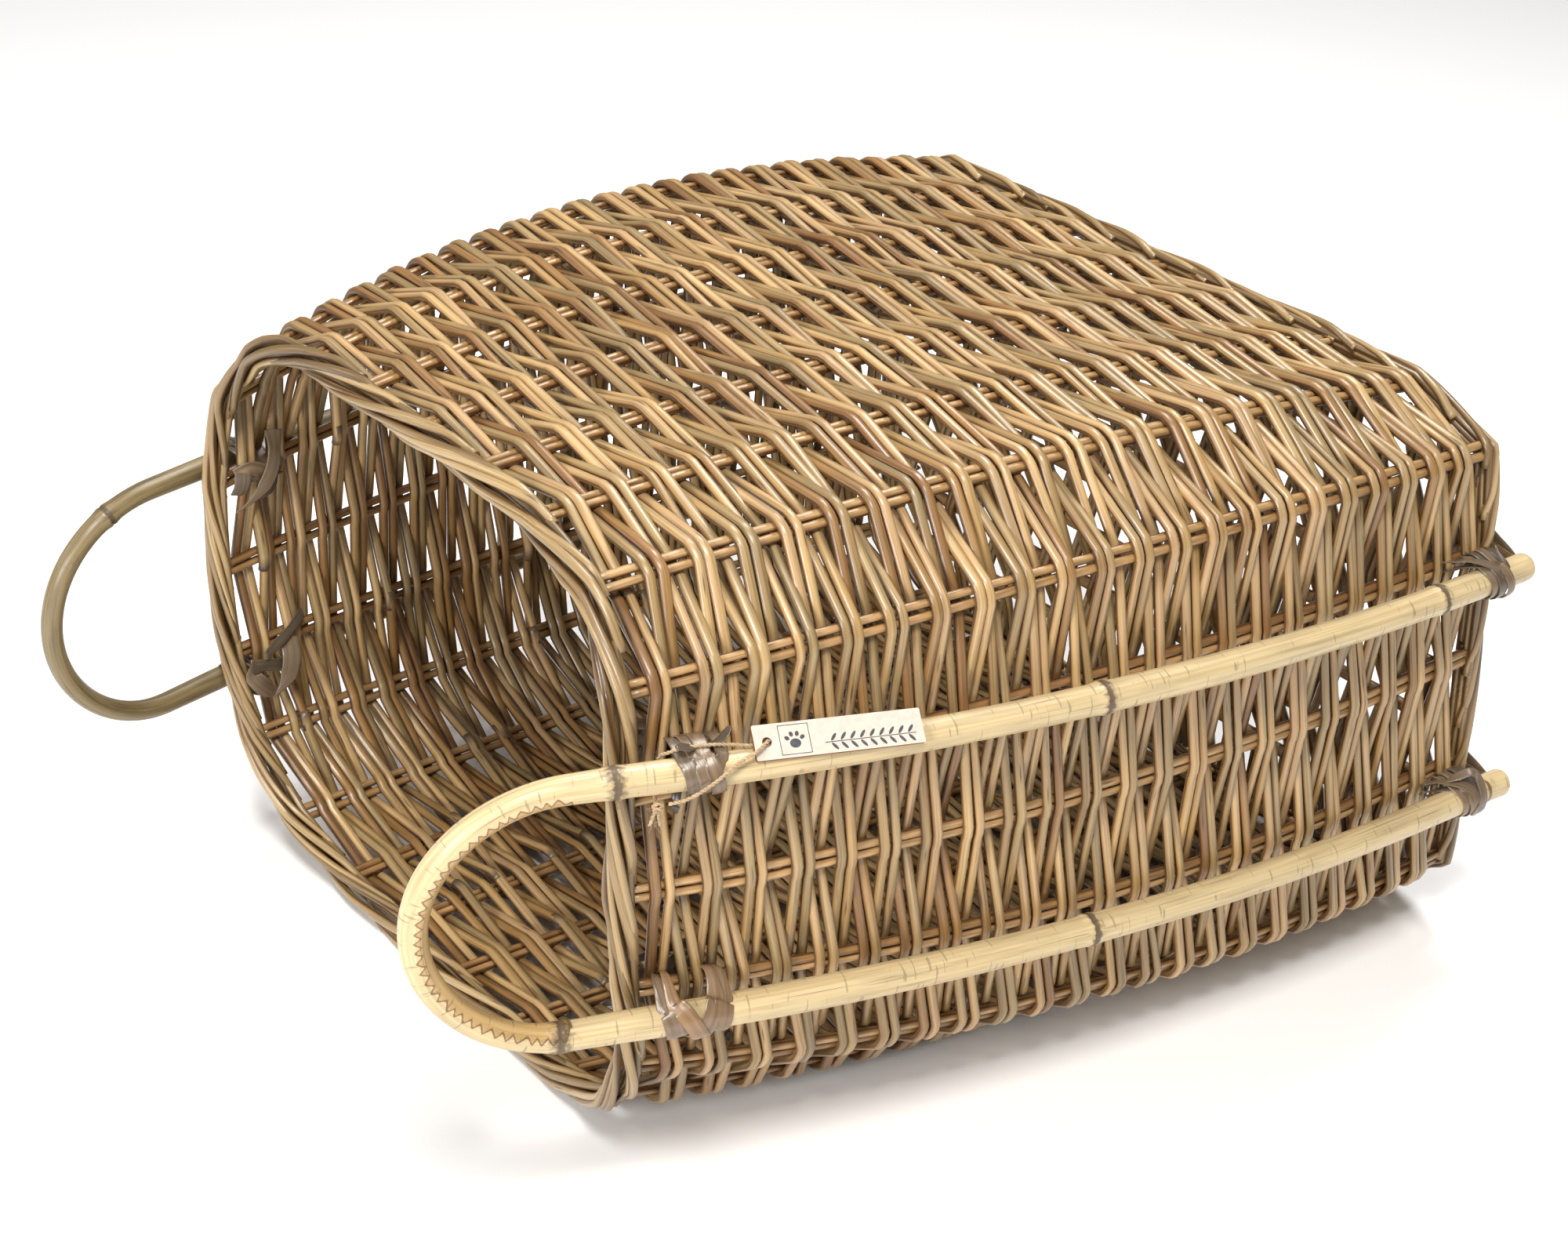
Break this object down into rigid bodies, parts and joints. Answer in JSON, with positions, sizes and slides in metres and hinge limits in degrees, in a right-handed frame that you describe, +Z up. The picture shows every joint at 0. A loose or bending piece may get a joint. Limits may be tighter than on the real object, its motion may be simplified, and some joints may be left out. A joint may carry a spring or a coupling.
{
  "type": "pet bed basket",
  "caption": "Woven willow basket lying on one long side as a cave bed for a pet, with a bordered mouth, a closed woven base and a lashed cane handle on each side.",
  "frame": {"origin": "on the floor, under the middle of the whole object's bounding box, handles included", "axes": "+Z up, +Y from the open mouth to the closed base, +X to the right when looking into the mouth's direction of +Y"},
  "size_m": [0.5404, 0.6302, 0.3411],
  "materials": {
    "willow_weave": "steamed willow rods, satin, tan to olive brown, with fine grain along each rod",
    "willow_stake": "steamed willow rods, satin, warm brown",
    "willow_border": "steamed willow rods bent into a rolled border, satin, olive brown",
    "pale_cane": "peeled cane, pale straw yellow, satin, with dark nodes and fine cross cracks",
    "olive_cane": "cane with its skin on, mottled olive gold, satin, with dark nodes",
    "lashing_strip": "split dark willow skin, flat strips, half gloss",
    "jute": "two-ply jute twine, matt, with loose fibres",
    "tag_board": "thin board with a white face and a brown cut edge"
  },
  "bodies": {
    "basket": {"rim_border": "willow_border", "foot_border": "willow_border", "base_weave": "willow_weave", "base_sticks": "willow_stake", "weave_course_1": "willow_weave", "weave_course_2": "willow_weave", "weave_course_3": "willow_weave", "weave_course_4": "willow_weave", "weave_course_5": "willow_weave", "weave_course_6": "willow_weave", "stake_pair_1": "willow_stake", "stake_pair_2": "willow_stake", "stake_pair_3": "willow_stake", "stake_pair_4": "willow_stake", "stake_pair_5": "willow_stake", "stake_pair_6": "willow_stake", "stake_pair_7": "willow_stake", "stake_pair_8": "willow_stake", "stake_pair_9": "willow_stake", "stake_pair_10": "willow_stake", "stake_pair_11": "willow_stake", "stake_pair_12": "willow_stake", "stake_pair_13": "willow_stake", "stake_pair_14": "willow_stake", "stake_pair_15": "willow_stake", "stake_pair_16": "willow_stake", "stake_pair_17": "willow_stake", "stake_pair_18": "willow_stake", "stake_pair_19": "willow_stake", "stake_pair_20": "willow_stake", "stake_pair_21": "willow_stake", "stake_pair_22": "willow_stake", "stake_pair_23": "willow_stake", "stake_pair_24": "willow_stake", "cane_handle_right": "pale_cane", "cane_handle_left": "olive_cane", "lashing_front_right_upper": "lashing_strip", "lashing_rear_right_upper": "lashing_strip", "lashing_front_right_lower": "lashing_strip", "lashing_rear_right_lower": "lashing_strip", "lashing_front_left_upper": "lashing_strip", "lashing_rear_left_upper": "lashing_strip", "lashing_front_left_lower": "lashing_strip", "lashing_rear_left_lower": "lashing_strip", "tag_twine": "jute"},
    "tag": {"hang_tag": "tag_board"}
  },
  "joints": [
    {"name": "tag_swing", "type": "hinge", "parent": "basket", "child": "tag", "pos_m": [0.22014, -0.16016, 0.24866], "axis": [0.6843, -0.162, 0.711], "range_deg": [-84, 6]}
  ]
}
